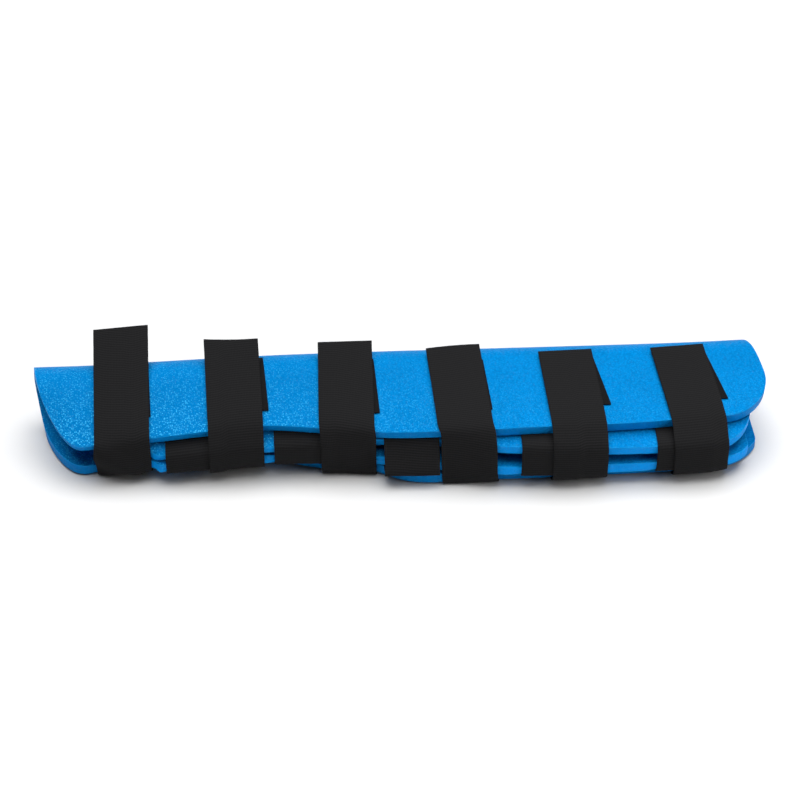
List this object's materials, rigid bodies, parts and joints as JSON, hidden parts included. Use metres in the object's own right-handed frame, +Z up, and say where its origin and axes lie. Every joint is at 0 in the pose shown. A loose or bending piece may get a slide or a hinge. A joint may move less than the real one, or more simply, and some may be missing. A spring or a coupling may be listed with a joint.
{
  "type": "fracture splint",
  "caption": "Long foam fracture splint, folded lengthwise with a second sheet nested inside, closed at the front by flat straps on hook pads.",
  "frame": {"origin": "middle of the outer size in plan, on the plane that the splint lies on", "axes": "+X along the splint towards the wide end, +Y to the folds at the back, +Z up"},
  "size_m": [0.675, 0.1428, 0.1068],
  "materials": {
    "foam": "matt closed-cell foam with a fine skin",
    "strap": "matt woven loop strap",
    "hook_pad": "matt hook tape"
  },
  "bodies": {
    "root": {"outer_shell": "foam", "inner_shell": "foam", "hook_pad_1": "hook_pad", "hook_pad_2": "hook_pad", "hook_pad_3": "hook_pad", "hook_pad_4": "hook_pad", "hook_pad_5": "hook_pad", "hook_pad_6": "hook_pad", "outer_strap_1": "strap", "outer_strap_2": "strap", "outer_strap_3": "strap", "outer_strap_4": "strap", "outer_strap_5": "strap", "outer_strap_6": "strap", "inner_strap_1": "strap", "inner_strap_2": "strap", "inner_strap_3": "strap", "inner_strap_4": "strap", "inner_strap_5": "strap"}
  },
  "joints": []
}
